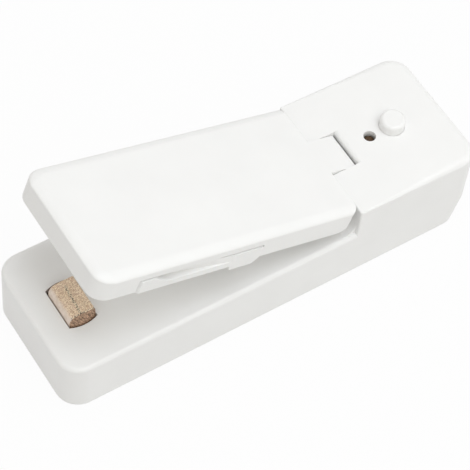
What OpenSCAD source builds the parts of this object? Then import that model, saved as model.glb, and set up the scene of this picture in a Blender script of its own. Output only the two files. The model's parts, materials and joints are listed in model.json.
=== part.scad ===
// Handheld bag sealer: a base with a heater in its deck, a sprung press lever
// hinged in the rear block, a push button, and a cutter arm in the lever's side.
// Millimetres. X runs along the body with the heater tip at -X, Y is the width
// and Z is up. The origin is the middle of the base on the surface it stands on.
// Lever pieces are laid out with the lever shut and then turned up by open_angle.

/* [Base] */
// Length of the base, from the heater tip to the rear wall
base_l = 100; // [94:1:120]
// Width of the base
base_w = 31.5; // [30:0.5:40]
// Height of the deck under the lever
deck_h = 14; // [13:0.5:18]
// Length of the rear block
block_l = 30.8; // [30:0.2:36]
// Thickness of the side walls
wall = 1.6; // [1.2:0.1:2]
// Thickness of the deck
deck_t = 1.6; // [1.2:0.1:2]
// Thickness of the roof of the rear block
roof_t = 1.8; // [1.4:0.1:2.2]
// Corner radius of the tip, seen from above
tip_r = 5; // [4:0.5:7]
// Corner radius of the rear end, seen from above
rear_r = 4.5; // [3.5:0.5:6]
// Rounding of the deck's edges
deck_edge = 1; // [0.4:0.1:1.4]
// Width of the rear block's soft top edge, seen from above
edge_w = 1.9; // [1:0.1:2.2]
// Drop of the rear block's soft top edge
edge_drop = 1.3; // [0.8:0.1:1.8]
// Rounding of the front edges of the rear block
brow_r = 0.4; // [0.3:0.1:0.8]
// Radius of the hollow between the deck and the rear block
foot_r = 3; // [2:0.25:4]
// How far the rear wall leans in towards the bottom
rake = 1.8; // [1:0.2:4]
// Height below which the rear wall leans in
rake_top = 7; // [5:0.5:9]
// Bevel of the bottom edges
bottom_bevel = 0.4; // [0.2:0.1:0.8]
// Thickness of the bottom cover
cover_t = 1.6; // [1.2:0.1:2]

/* [Lever] */
// Thickness of the lever
lever_t = 6.4; // [6:0.2:8]
// Gap between the lever and the deck when the lever is shut
lever_gap = 1.6; // [1.5:0.1:2.4]
// How far the lever's sides stand back from the base's sides
lever_inset = 0.55; // [0.3:0.05:1]
// How far the lever's front stands back from the tip when shut
lever_setback = 3.3; // [2.6:0.1:3.5]
// Angle at which the lever stands open
open_angle = 17.7; // [12:0.1:22]
// Corner radius of the lever's front, seen from above
lever_r = 3.7; // [3.2:0.1:5]
// Width of the soft edge at the lever's front, seen from above
brim_w = 2.6; // [1.5:0.1:3]
// Drop of the soft edge at the lever's front
brim_drop = 1.1; // [0.8:0.1:1.4]
// Rounding of the lever's rear bottom edge
heel_round = 3.5; // [3:0.25:4.5]
// Width of the soft side edges at the lever's rear, seen from above
heel_w = 2.2; // [1:0.1:2.6]
// Drop of the soft side edges at the lever's rear
heel_drop = 1.2; // [0.8:0.1:1.4]
// Corner radius of the lever's rear on the cutter's side, seen from above
heel_r = 1.6; // [0.8:0.1:2]
// Wall thickness of the lever
lever_wall = 1.4; // [1:0.1:1.6]
// Thickness of the lever's underplate
plate_t = 1.4; // [1.2:0.1:1.6]

/* [Hinge] */
// Width of the lever's tongue
tongue_w = 9.1; // [8:0.1:11]
// Radius of the tongue's round underside, and depth of the hinge axis under the roof
knuckle_r = 3; // [2.8:0.1:3.2]
// Rounding of the tongue's rear top edge
knuckle_edge = 1; // [0.6:0.1:1.4]
// Distance of the hinge axis behind the block's front
hinge_back = 2.7; // [2.4:0.1:3.4]
// Distance of the slot's rear wall behind the hinge axis
slot_back = 4.1; // [3.9:0.1:4.4]
// Rounding of the slot's rear top edge
slot_lip = 0.8; // [0.4:0.1:1.2]
// Diameter of the hinge pins
pin_d = 2; // [1.6:0.1:2.4]
// Length of each hinge pin
pin_l = 6; // [5:0.25:6.5]
// Thickness of the ears beside the hinge slot
ear_t = 2.4; // [2:0.1:3]
// Outer diameter of the opening spring
spring_d = 5.6; // [5:0.2:6.4]
// Wire diameter of the opening spring
spring_wire = 0.6; // [0.5:0.05:0.7]
// Turns of the opening spring
spring_turns = 5; // [4:1:5]
// Depth of the spring's cup in the deck
cup_depth = 3.2; // [2.5:0.1:4]
// Distance of the spring in front of the hinge axis
spring_reach = 12; // [11.6:0.1:13]
// Height of the peg that holds the spring's upper end
peg_h = 1.8; // [1.2:0.1:2]

/* [Heater] */
// Distance of the heater's middle from the tip
heater_inset = 9.2; // [8.8:0.1:10]
// How far the heater stands off the middle, towards the cutter's side
heater_side = 0.6; // [0:0.1:0.7]
// Width of the heater opening along the base
heater_w = 6.5; // [6:0.1:6.6]
// Length of the heater opening across the base
heater_l = 11.4; // [10:0.2:12.4]
// Bulge of the opening's round ends
heater_bulge = 0.7; // [0.4:0.1:1]
// Height of the heater above the deck
heater_rise = 2.2; // [1.8:0.1:2.3]
// Bevel of the heater's front top edge
heater_bevel = 1; // [0.5:0.1:1.2]
// Thickness of the cloth over the heater
cloth_t = 0.3; // [0.2:0.05:0.4]
// Width of the heating strip
strip_w = 1.6; // [1:0.1:2]
// Thickness of the heating strip
strip_t = 0.2; // [0.15:0.05:0.3]
// Thickness of the heater's flange
flange_t = 1.4; // [1.2:0.1:1.8]
// Height of the heater's neck under the deck, down to its flange
heater_neck = 1.6; // [1.2:0.1:2]
// Room left for the bag between the press pad and the heater when shut
film_gap = 0.3; // [0.3:0.05:0.5]
// Thickness of the press pad's rim
pad_rim_t = 1.2; // [1:0.1:1.6]

/* [Cutter] */
// Distance of the cutter's pivot from the lever's front
pivot_inset = 12.6; // [12:0.1:15]
// Length of the cutter arm behind its pivot
arm_l = 27.6; // [24:0.2:32]
// Depth of the arm, from the lever's side inwards
arm_depth = 2.6; // [2.4:0.1:3]
// How far the arm stands proud of the lever's side
arm_proud = 0.25; // [0.1:0.05:0.3]
// Height of the arm's rail
rail_h = 1.5; // [1.4:0.1:1.8]
// Height of the arm at its pivot and its tab
arm_h = 3.4; // [3.2:0.1:3.6]
// Depth of the finger groove above the rail, at its deep end
groove_d = 1.7; // [0.9:0.1:1.8]
// Length of the sloping end of the finger groove
ramp_l = 4; // [2:0.5:6]
// Length of the finger tab
tab_l = 7.3; // [6:0.1:9]
// How far the finger tab hangs under the lever
tab_hang = 1.2; // [0.8:0.1:1.2]
// Bevel of the finger tab's lower rear corner
tab_bevel = 1.4; // [0.8:0.1:1.8]
// Depth of the bay behind the arm
bay_depth = 6.8; // [6.6:0.1:8]
// Diameter of the pivot screw's shank
pivot_d = 2; // [1.6:0.1:2.2]
// Thickness of the blade
blade_t = 0.4; // [0.3:0.05:0.5]

/* [Button and board] */
// Distance of the button from the rear wall
button_inset = 12.5; // [12:0.1:13.2]
// Diameter of the button
button_d = 5.5; // [5:0.1:6]
// Height of the button above the roof
button_rise = 2.6; // [2:0.1:3]
// Travel of the button
button_travel = 0.8; // [0.5:0.1:1]
// Thickness of the button's flange
button_flange_t = 1; // [0.8:0.1:1.1]
// Rounding of the button's top edge
button_edge = 0.8; // [0.4:0.1:1.6]
// Distance of the indicator hole in front of the button
lamp_pitch = 5.7; // [5.6:0.1:6.4]
// Diameter of the indicator hole
lamp_hole_d = 2.7; // [2.5:0.1:3]
// Depth of the board's top under the roof
board_drop = 7.2; // [6.8:0.1:8]
// Thickness of the board
board_t = 1.2; // [1:0.1:1.6]
// Height of the push switch
switch_h = 3.5; // [3.1:0.1:3.6]
// Side of the push switch
switch_w = 6; // [5:0.5:6]
// Width of the charge socket
socket_w = 9; // [8.4:0.1:9.2]
// Height of the charge socket
socket_h = 3.2; // [3:0.1:3.4]
// Length of the charge socket
socket_l = 6.4; // [6:0.1:7]

/* [Power] */
// Thickness of the battery cell
cell_t = 5.6; // [4.5:0.1:5.8]
// Thickness of the foam tape under the cell
tape_t = 0.6; // [0.4:0.1:0.8]
// Diameter of the wires
wire_d = 1.2; // [0.8:0.1:1.3]

/* [Screws] */
// Diameter of the screws' shanks
screw_d = 1.6; // [1.4:0.1:1.8]
// Diameter of the screws' heads
screw_head_d = 3; // [2.6:0.1:3.2]
// Height of the screws' heads
screw_head_h = 0.8; // [0.6:0.1:0.9]
// Wall round a screw hole in a boss
boss_wall = 1.3; // [1:0.1:1.4]
// Length of the bottom cover's screws
cover_screw_l = 7; // [6:0.5:9]
// Bite of the other screws in their bosses
screw_bite = 2; // [1.6:0.1:2.2]

/* [Clearances] */
// Gap between pieces that move past each other
move_gap = 0.3; // [0.3:0.05:0.4]
// Gap under the tongue in its slot
knuckle_gap = 0.4; // [0.3:0.05:0.5]
// Gap on each side of the tongue in its slot
tongue_gap = 0.1; // [0.06:0.02:0.2]
// Radial play of the button in its hole
button_gap = 0.06; // [0.06:0.02:0.1]
// Radial play of a pin in the piece that turns on it
run_gap = 0.05; // [0.03:0.01:0.08]
// Gap round a cover in its opening
seat_gap = 0.15; // [0.1:0.05:0.2]
// Radial gap of a screw in a clearance hole
screw_gap = 0.2; // [0.15:0.05:0.3]
// Gap round the heater in the deck
heater_gap = 0.15; // [0.1:0.05:0.3]
// Room between pieces that lie side by side in the base
bay_gap = 0.6; // [0.4:0.1:0.8]

/* [Hidden] */
$fn = 64;

// Length by which joined shapes run into each other and cuts pass their faces
eps = 0.5;
// Smallest step between faces that would otherwise only just touch
nick = 0.05;
// Depth of a screw head under the face around it
head_sink = 0.1;
// Width of a screw's cross recess
cross_w = 0.4;
// Facets round a corner of the soft housings, and steps of their top edges
soft_fn = 32;
soft_steps = 5;

// Base
half_w = base_w / 2;
inner_half = half_w - wall;
tip_x = -base_l / 2;
rear_x = base_l / 2;
block_x = rear_x - block_l;
block_h = deck_h + lever_gap + lever_t;
deck_under = deck_h - deck_t;
roof_under = block_h - roof_t;
// Height at which the rear wall starts to lean out from its foot
rake_foot = 2;
boss_r = screw_d / 2 + boss_wall;
boss_in_wall = 0.3;

// Hinge and lever, laid out shut
pin_x = block_x + hinge_back;
pin_z = block_h - knuckle_r;
slot_half = tongue_w / 2 + tongue_gap;
slot_rear = pin_x + slot_back;
slot_floor = pin_z - knuckle_r - knuckle_gap;
// The tongue's rear top edge comes move_gap short of the slot's rear wall when fully open
knuckle_up = knuckle_r - knuckle_edge;
knuckle_rear = (slot_back - move_gap - knuckle_edge - knuckle_up * sin(open_angle)) / cos(open_angle);
ear_out = slot_half + ear_t;
pin_out = 0.4;
lever_half = half_w - lever_inset;
lever_bot = block_h - lever_t;
lever_front = tip_x + lever_setback;
// The lever's rear top edge comes move_gap short of the block when fully open
lever_rear = pin_x - (hinge_back + move_gap + knuckle_r * sin(open_angle)) / cos(open_angle);
lever_roof = block_h - lever_wall;
plate_top = lever_bot + plate_t;
tongue_root = heel_round;

// Opening spring, its cup in the deck and its peg on the lever
spring_x = pin_x - spring_reach;
spring_r = (spring_d - spring_wire) / 2;
cup_gap = 0.4;
cup_wall = 1.2;
cup_r = spring_d / 2 + cup_gap;
cup_floor = deck_h - cup_depth;
peg_gap = 0.8;
peg_r = spring_d / 2 - spring_wire - peg_gap;
peg_lead = 0.25;
peg_x = pin_x + (peg_lead - spring_reach + (pin_z - lever_bot) * sin(open_angle)) / cos(open_angle);

// Heater
heater_x = tip_x + heater_inset;
heater_y = -heater_side;
heater_top = deck_h + heater_rise;
flange_top = deck_under - heater_neck;
flange_bot = flange_top - flange_t;
flange_w = heater_w + 2;
core_inset = heater_gap + cloth_t;
core_top = heater_top - cloth_t;
// The carrier's ends are straight, with room for the folds of the cloth
core_end = heater_l / 2 - heater_bulge - core_inset - cloth_t;
heater_screw_y = heater_l / 2 + boss_r + 1.6;
strip_cover = 0.1;
strip_end = core_end - strip_cover;

// Press pad
pad_face = heater_top + film_gap;
pad_w = heater_w;
pad_l = heater_l + 0.6;
pad_rim = 0.6;
pad_top = plate_top + pad_rim_t;

// Cutter arm, its bay and its blade
side_y = -lever_half;
arm_out = side_y - arm_proud;
arm_in = arm_out + arm_depth;
arm_bot = lever_bot - nick;
rail_top = arm_bot + rail_h;
arm_top = arm_bot + arm_h;
nose_r = arm_depth;
pivot_x = lever_front + pivot_inset;
pivot_y = arm_out + nose_r + nick;
arm_rear = pivot_x + arm_l;
tab_front = arm_rear - tab_l;
ramp_x = pivot_x + nose_r / 4;
groove_x = ramp_x + ramp_l;
notch_top = arm_top + move_gap;
bay_in = side_y + bay_depth;
bay_rear = arm_rear + move_gap;
// The arm's front end is square outside the pivot: its corners need the notch's radius to turn
nose_bevel = 0.5;
nose_side = pivot_y - arm_out;
nose_reach = max(norm([nose_r, nose_side - nose_bevel]), norm([nose_r - nose_bevel, nose_side]));
notch_r = nose_reach + move_gap;
bay_front = pivot_x - notch_r;
rib_t = 1;
pivot_head_r = nose_r - 0.9;
pivot_head_h = 0.6;
pivot_recess = head_sink + pivot_head_h + move_gap;
pivot_bite = 0.4;
web_in = bay_in - 0.9;
web_l = 9.4;
web_flat = 5;
web_mid = pivot_x + web_flat;
web_end = pivot_x + web_l;
web_lip = 0.6;
blade_front = pivot_x + nose_r + 0.4;
blade_tip = web_end + 1.4;
blade_over = 0.4;
blade_screw_x = web_mid + 0.2;
blade_screw_y = (arm_in + web_in) / 2;
blade_screw_r = 0.7;
blade_head_r = 1.2;
blade_head_h = 0.6;

// Button and board
button_x = rear_x - button_inset;
lamp_x = button_x - lamp_pitch;
board_z = roof_under - board_drop;
board_under = board_z - board_t;
switch_top = board_z + switch_h;
cover_boss_y = inner_half - boss_r + boss_in_wall;
board_x0 = slot_rear + wall + bay_gap;
board_x1 = rear_x - wall - 2 * bay_gap;
board_half = cover_boss_y - boss_r - bay_gap;
// Charge socket in the rear wall, on the end of the board
socket_end = rear_x - 0.5;
socket_front = socket_end - socket_l;
socket_skin = 0.4;
board_boss_x = [board_x0 + boss_r, socket_front - boss_r - bay_gap];
board_boss_y = board_half - boss_r;
// Pieces under the board: X from the button, Y, length, width, height
board_chips = [[0, 0, 5, 5, 1], [5, -4.4, 3, 3, 1.1], [0, 5.2, 2, 1.2, 0.9]];
button_flange_r = button_d / 2 + 1.1;
button_flange_top = roof_under - move_gap;
stem_r = 1.6;
stem_bot = switch_top + button_travel + move_gap;
plunger_r = 1.5;
plunger_dip = 0.9;
led_r = lamp_hole_d / 2 - 0.25;
led_top = roof_under + roof_t / 2;
led_bot = led_top - 3.8;
led_lead = 0.5;

// Screws of the bottom cover: beside the heater, and in the rear corners
cover_boss_x = [heater_x + flange_w / 2 + boss_r + 2 * bay_gap, rear_x - rear_r - boss_r - 2];
cover_boss_top = [deck_under, roof_under];

// Battery bay, between the front screws and the spring's cup
cell_x0 = cover_boss_x[0] + boss_r + bay_gap;
cell_x1 = spring_x - cup_r - cup_wall - bay_gap;
cell_half = inner_half - 6 * bay_gap;
cell_z = cover_t + tape_t;
cell_mid = cell_z + cell_t / 2;

// Lever screws: two at the rear, one in the middle
lever_screw_inset = 9.5;
lever_screw_side = 5;
mid_screw_side = 6;
lever_screw_x = lever_rear - lever_screw_inset;
lever_screw_y = lever_half - lever_screw_side;
lever_screw_at = [[lever_screw_x, lever_screw_y], [lever_screw_x, -lever_screw_y],
    [pivot_x + mid_screw_side, mid_screw_side]];
lever_screw_l = head_sink + plate_t + screw_bite;

// Height of the open lever's underside over a point of the deck
function lid_z(x) = pin_z + (lever_bot - pin_z - sin(open_angle) * (x - pin_x)) / cos(open_angle);

// Centre line of the opening spring: each turn leans more, up to the lever's tilt
spring_seat = spring_wire / 2 + nick;
spring_low = cup_floor + spring_seat;
spring_rings = 8;
spring_steps = spring_turns * spring_rings;
function spring_point(t) =
    let (a = 360 * spring_turns * t, x = spring_x + spring_r * cos(a))
    let (high = lid_z(x) - spring_seat / cos(open_angle))
    [x, spring_r * sin(a), spring_low + t * (high - spring_low)];
spring_path = [for (i = [0 : spring_steps]) spring_point(i / spring_steps)];
spring_gap = min([for (i = [0 : spring_steps - spring_rings])
    norm(spring_path[i + spring_rings] - spring_path[i])]) - spring_wire;
echo(str("opening spring, least gap between turns: ", spring_gap));

// Wire routes to the board's underside, one wire of each pair on each side s
lead_z = cell_z + cell_t + wire_d / 2 + 0.4;
lead_step = 1;
lead_x = button_x - board_chips[0][2] / 2 - bay_gap - wire_d / 2 - lead_step;
function heater_lead(s) = let (y = heater_y + s * strip_end)
    [[heater_x, y, flange_bot], [heater_x, y, flange_bot - 1.4],
    [heater_x + 6, s * 5.4, lead_z - 0.4], [cell_x0, s * 6.6, lead_z], [cell_x1, s * 6.6, lead_z],
    [block_x + 4, s * 6.6, lead_z], [lead_x, s * 5.4, lead_z + 0.6], [lead_x, s * 5.4, board_under]];
function battery_lead(s) =
    [[cell_x1, s * 2.4, cell_mid], [cell_x1 + 2.4, s * 2.4, cell_mid], [block_x, s * 3.2, cell_mid - 0.6],
    [lead_x, s * 2.4, cell_mid + 0.4], [lead_x + lead_step, s * 2.4, board_under - 1.2],
    [lead_x + lead_step, s * 2.4, board_under]];

function unit(v) = v / norm(v);

// Corner cutting, for the bends of a wire
function rounded(path, times) = times == 0 ? path : rounded(concat([path[0]],
    [for (i = [0 : len(path) - 2])
        each [0.75 * path[i] + 0.25 * path[i + 1], 0.25 * path[i] + 0.75 * path[i + 1]]],
    [path[len(path) - 1]]), times - 1);

// Round tube along a line of points; ref is a direction that the line never takes
module tube(path, r, sides, ref) {
    last = len(path) - 1;
    end = last * sides;
    points = [for (i = [0 : last])
        let (t = unit(path[min(i + 1, last)] - path[max(i - 1, 0)]))
        let (u = unit(cross(ref, t)), v = cross(t, u))
        for (k = [0 : sides - 1]) path[i] + r * (cos(360 * k / sides) * u + sin(360 * k / sides) * v)];
    skin = [for (i = [0 : last - 1], k = [0 : sides - 1])
        let (a = i * sides + k, b = i * sides + (k + 1) % sides)
        each [[a, a + sides, b + sides], [a, b + sides, b]]];
    caps = [for (k = [1 : sides - 2]) each [[0, k, k + 1], [end, end + k + 1, end + k]]];
    polyhedron(points, concat(skin, caps));
}

// Upright corner of a soft housing: rounded top edge, bevelled bottom edge
module corner(r, h, w, drop, bevel) {
    soft_w = min(w, r - nick);
    arc = [for (i = [0 : soft_steps]) let (a = 90 * i / soft_steps)
        [r - soft_w + soft_w * cos(a), h - drop + drop * sin(a)]];
    rotate_extrude($fn = soft_fn)
        polygon(concat([[0, 0], [r - bevel, 0], [r, bevel]], arc, [[0, h]]));
}

// Waste outside a rounded corner at the origin, of a solid that lies at -x and +y
module corner_cut(r) {
    arc = [for (i = [0 : 2 * soft_steps]) let (a = -45 * i / soft_steps)
        [r * cos(a) - r, r + r * sin(a)]];
    polygon(concat([[eps, r]], arc, [[-r, -eps], [eps, -eps]]));
}

// Low body of the base, drawn in by inset and run down by sink
module low_form(inset, top, sink) {
    hull()
        for (s = [-1, 1]) {
            translate([tip_x + tip_r, s * (half_w - tip_r), -sink])
                corner(tip_r - inset, top + sink, deck_edge, deck_edge, bottom_bevel);
            translate([rear_x - rake - rear_r, s * (half_w - rear_r), -sink])
                corner(rear_r - inset, sink + rake_foot, bottom_bevel, bottom_bevel, bottom_bevel);
            translate([rear_x - rear_r, s * (half_w - rear_r), rake_top])
                corner(rear_r - inset, top - rake_top, deck_edge, deck_edge, nick);
        }
}

// Rear block, from the rake up, drawn in by inset
module block_form(inset, top) {
    hull()
        for (s = [-1, 1]) {
            translate([block_x + inset + brow_r, s * (half_w - inset - brow_r), rake_top])
                corner(brow_r, top - rake_top, brow_r, brow_r, nick);
            translate([rear_x - rear_r, s * (half_w - rear_r), rake_top])
                corner(rear_r - inset, top - rake_top, edge_w, edge_drop, nick);
        }
}

// Lever when shut, drawn in by inset, from bottom to top
module lever_form(inset, bottom, top) {
    heel_z = lever_bot + heel_round;
    heel_arc = [for (i = [0 : 2 * soft_steps]) let (a = -45 * i / soft_steps)
        (heel_round - inset) * [cos(a), sin(a)]];
    drop = min(heel_drop, top - heel_z - nick);
    half = lever_half - inset;
    side_arc = [for (i = [0 : soft_steps]) let (a = 90 * i / soft_steps)
        [half - heel_w + heel_w * cos(a), top - drop + drop * sin(a)]];
    half_end = concat([[0, heel_z], [half, heel_z]], side_arc, [[0, top]]);
    hull() {
        for (s = [-1, 1]) {
            translate([lever_front + lever_r, s * (lever_half - lever_r), bottom])
                corner(lever_r - inset, top - bottom, brim_w, brim_drop, bottom_bevel);
            translate([lever_rear - inset - eps, 0, 0])
                rotate([90, 0, 90])
                    linear_extrude(eps)
                        polygon([for (p = half_end) [s * p[0], p[1]]]);
        }
        translate([lever_rear - heel_round, 0, heel_z])
            rotate([90, 0, 0])
                linear_extrude(2 * half, center = true)
                    polygon(concat([[0, 0]], heel_arc));
    }
}

// Underside of the lever in front of its rounded heel, drawn in by inset
module plate_form(inset, bottom, top) {
    half = lever_half - inset;
    hull() {
        for (s = [-1, 1])
            translate([lever_front + lever_r, s * (lever_half - lever_r), bottom])
                cylinder(r = lever_r - inset, h = top - bottom, $fn = soft_fn);
        translate([lever_rear - heel_round - inset - eps, -half, bottom])
            cube([eps, 2 * half, top - bottom]);
    }
}

// Turns what is drawn shut up to the open position
module opened() {
    translate([pin_x, 0, pin_z])
        rotate([0, open_angle, 0])
            translate([-pin_x, 0, -pin_z])
                children();
}

// Plan of the heater opening, with round ends, drawn in by inset
module heater_plan(inset) {
    w = heater_w - 2 * inset;
    l = heater_l - 2 * inset;
    r = (pow(w / 2, 2) + pow(heater_bulge, 2)) / (2 * heater_bulge);
    intersection() {
        square([w, l], center = true);
        translate([0, r - l / 2])
            circle(r);
        translate([0, l / 2 - r])
            circle(r);
    }
}

// Long outline with round ends, centred
module stadium(w, h) {
    r = h / 2;
    polygon([for (s = [1, -1], i = [-soft_steps : soft_steps]) let (a = 90 * i / soft_steps)
        s * [w / 2 - r + r * cos(a), r * sin(a)]]);
}

// Screw with its head down and its shank up: bite is measured above the head
module screw(bite) {
    difference() {
        union() {
            cylinder(d = screw_head_d, h = screw_head_h);
            cylinder(d = screw_d, h = screw_head_h + bite);
        }
        for (a = [0, 90])
            rotate(a)
                cube([0.6 * screw_head_d, cross_w, screw_head_h], center = true);
    }
}

// Clearance hole with a head recess, cut from the underside of a plate
module screw_cut(t) {
    translate([0, 0, -eps])
        cylinder(d = screw_d + 2 * screw_gap, h = t + 2 * eps);
    translate([0, 0, -eps])
        cylinder(d = screw_head_d + 2 * screw_gap, h = head_sink + screw_head_h + eps);
}

// Places of the screws
module cover_points() {
    for (x = cover_boss_x, s = [-1, 1])
        translate([x, s * cover_boss_y, 0])
            children();
}

module board_points() {
    for (x = board_boss_x, s = [-1, 1])
        translate([x, s * board_boss_y, 0])
            children();
}

module heater_points() {
    for (s = [-1, 1])
        translate([heater_x, heater_y + s * heater_screw_y, 0])
            children();
}

module lever_points() {
    for (p = lever_screw_at)
        translate([p[0], p[1], 0])
            children();
}

// Outside of the base, with the hollow at the foot of the block
module base_outer() {
    low_form(0, deck_h, 0);
    block_form(0, block_h);
    translate([block_x, 0, deck_h])
        rotate([90, 0, 0])
            linear_extrude(base_w - 2 * deck_edge, center = true)
                difference() {
                    translate([-foot_r, -eps])
                        square([foot_r + brow_r, foot_r + eps]);
                    translate([-foot_r, foot_r + nick])
                        circle(foot_r);
                }
}

// Inside of the base: hinge box, spring cup and screw bosses
module base_inside() {
    translate([block_x + eps, -ear_out, slot_floor - wall])
        cube([slot_rear + wall - block_x - eps, 2 * ear_out, roof_under + eps - slot_floor + wall]);
    translate([spring_x, 0, cup_floor - cup_wall])
        cylinder(r = cup_r + cup_wall, h = deck_under + eps - cup_floor + cup_wall);
    for (i = [0, 1], s = [-1, 1])
        translate([cover_boss_x[i], s * cover_boss_y, cover_t])
            cylinder(r = boss_r, h = cover_boss_top[i] + eps - cover_t);
    board_points()
        translate([0, 0, board_z])
            cylinder(r = boss_r, h = roof_under + eps - board_z);
    heater_points()
        translate([0, 0, flange_top])
            cylinder(r = boss_r, h = deck_under + eps - flange_top);
}

// Hinge slot seen from the side, with a rounded rear top edge
module slot_cut() {
    front = block_x - foot_r - eps;
    lip_arc = [for (i = [0 : soft_steps]) let (a = 90 * i / soft_steps)
        [slot_rear + slot_lip - slot_lip * cos(a), block_h - slot_lip + slot_lip * sin(a)]];
    translate([0, slot_half, 0])
        rotate([90, 0, 0])
            linear_extrude(2 * slot_half)
                polygon(concat([[front, slot_floor], [slot_rear, slot_floor]], lip_arc,
                    [[slot_rear + slot_lip, block_h + eps], [front, block_h + eps]]));
}

module base_shell() {
    color("white")
        difference() {
            union() {
                difference() {
                    base_outer();
                    low_form(wall, deck_under, eps);
                    block_form(wall, roof_under);
                }
                base_inside();
            }
            // Hinge slot, open to the front and the top
            slot_cut();
            // Bores of the hinge pins in the ears
            translate([pin_x, 0, pin_z])
                rotate([90, 0, 0])
                    cylinder(d = pin_d, h = 2 * (ear_out + eps), center = true);
            // Spring cup
            translate([spring_x, 0, cup_floor])
                cylinder(r = cup_r, h = cup_depth + eps);
            // Heater opening
            translate([heater_x, heater_y, deck_under - eps])
                linear_extrude(deck_t + 2 * eps)
                    heater_plan(0);
            // Button and indicator holes
            translate([button_x, 0, roof_under - eps])
                cylinder(d = button_d + 2 * button_gap, h = roof_t + 2 * eps);
            translate([lamp_x, 0, roof_under - eps])
                cylinder(d = lamp_hole_d, h = roof_t + 2 * eps);
            // Opening of the charge socket
            translate([rear_x - rake, 0, board_z + socket_h / 2])
                rotate([90, 0, 90])
                    linear_extrude(rake + eps)
                        stadium(socket_w + 2 * seat_gap, socket_h + 2 * seat_gap);
            // Screw holes in the bosses
            cover_points()
                translate([0, 0, cover_t - eps])
                    cylinder(d = screw_d, h = cover_screw_l - cover_t + 2 * eps);
            board_points()
                translate([0, 0, board_z - eps])
                    cylinder(d = screw_d, h = screw_bite + 2 * eps);
            heater_points()
                translate([0, 0, flange_top - eps])
                    cylinder(d = screw_d, h = screw_bite + eps + head_sink);
        }
}

module bottom_cover() {
    color("whitesmoke")
        difference() {
            intersection() {
                low_form(wall + seat_gap, deck_h, 0);
                translate([tip_x, -half_w, 0])
                    cube([base_l, base_w, cover_t]);
            }
            cover_points()
                screw_cut(cover_t);
        }
}

module cover_screws() {
    color("silver")
        cover_points()
            translate([0, 0, head_sink])
                screw(cover_screw_l - screw_head_h);
}

// Ribbon over the carrier's top and down both ends through the flange
module ribbon() {
    difference() {
        translate([heater_x - strip_w / 2, heater_y - strip_end, flange_bot])
            cube([strip_w, 2 * strip_end, core_top - flange_bot]);
        translate([heater_x - strip_w, heater_y + strip_t - strip_end, flange_bot - eps])
            cube([2 * strip_w, 2 * (strip_end - strip_t), core_top - strip_t - flange_bot + eps]);
    }
}

// Bar across the base with a bevelled front top edge, drawn in by inset along the base
module heater_bar(inset, bottom, top, half_l) {
    half = heater_w / 2 - inset;
    translate([heater_x, heater_y + half_l, 0])
        rotate([90, 0, 0])
            linear_extrude(2 * half_l)
                polygon([[-half, bottom], [half, bottom], [half, top], [heater_bevel - half, top],
                    [-half, top - heater_bevel]]);
}

// Core of the carrier that the cloth is drawn over
module heater_core() {
    heater_bar(core_inset, flange_bot, core_top, core_end);
}

module heater_block() {
    color("tan")
        difference() {
            union() {
                heater_core();
                translate([heater_x - flange_w / 2, heater_y - heater_screw_y - boss_r, flange_bot])
                    cube([flange_w, 2 * (heater_screw_y + boss_r), flange_t]);
            }
            ribbon();
            heater_points()
                translate([0, 0, flange_bot - eps])
                    cylinder(d = screw_d + 2 * screw_gap, h = flange_t + 2 * eps);
        }
}

module heating_strip() {
    color("dimgray")
        ribbon();
}

module ptfe_cover() {
    color("peru")
        difference() {
            intersection() {
                heater_bar(heater_gap, flange_top, heater_top, heater_l / 2);
                translate([heater_x, heater_y, flange_top - eps])
                    linear_extrude(heater_top - flange_top + 2 * eps)
                        heater_plan(heater_gap);
            }
            heater_core();
        }
}

module heater_screws() {
    color("silver")
        heater_points()
            translate([0, 0, flange_bot - screw_head_h])
                screw(flange_t + screw_bite);
}

module heater_leads() {
    color("firebrick")
        for (s = [-1, 1])
            tube(rounded(heater_lead(s), 2), wire_d / 2, 8, [0.1, 1, 0.3]);
}

module battery_cell() {
    color("gainsboro")
        translate([cell_x0, 0, cell_mid])
            rotate([90, 0, 90])
                linear_extrude(cell_x1 - cell_x0)
                    stadium(2 * cell_half, cell_t);
}

module battery_tape() {
    color("dimgray")
        translate([cell_x0 + cell_t / 2, cell_t / 2 - cell_half, cover_t])
            cube([cell_x1 - cell_x0 - cell_t, 2 * cell_half - cell_t, tape_t]);
}

module battery_leads() {
    color("black")
        for (s = [-1, 1])
            tube(rounded(battery_lead(s), 2), wire_d / 2, 8, [0.1, 1, 0.3]);
}

module circuit_board() {
    color("seagreen")
        difference() {
            translate([board_x0, -board_half, board_under])
                cube([board_x1 - board_x0, 2 * board_half, board_t]);
            board_points()
                translate([0, 0, board_under - eps])
                    cylinder(d = screw_d + 2 * screw_gap, h = board_t + 2 * eps);
        }
}

// Charge chip, power transistor and a capacitor, hung under the board
module board_parts() {
    color("black")
        for (c = board_chips)
            translate([button_x + c[0] - c[2] / 2, c[1] - c[3] / 2, board_under - c[4]])
                cube([c[2], c[3], c[4]]);
}

module board_screws() {
    color("silver")
        board_points()
            translate([0, 0, board_under - screw_head_h])
                screw(board_t + screw_bite);
}

module tact_switch() {
    color("dimgray")
        difference() {
            translate([button_x - switch_w / 2, -switch_w / 2, board_z])
                cube([switch_w, switch_w, switch_h]);
            translate([button_x, 0, switch_top - plunger_dip - button_travel - move_gap])
                cylinder(r = plunger_r + move_gap, h = switch_h);
        }
}

module indicator_led() {
    color("saddlebrown") {
        translate([lamp_x, 0, led_bot])
            cylinder(r = led_r, h = led_top - led_bot);
        for (s = [-1, 1])
            translate([lamp_x - led_lead / 2, s * led_r / 2 - led_lead / 2, board_z])
                cube([led_lead, led_lead, led_bot - board_z + eps]);
    }
}

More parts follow.
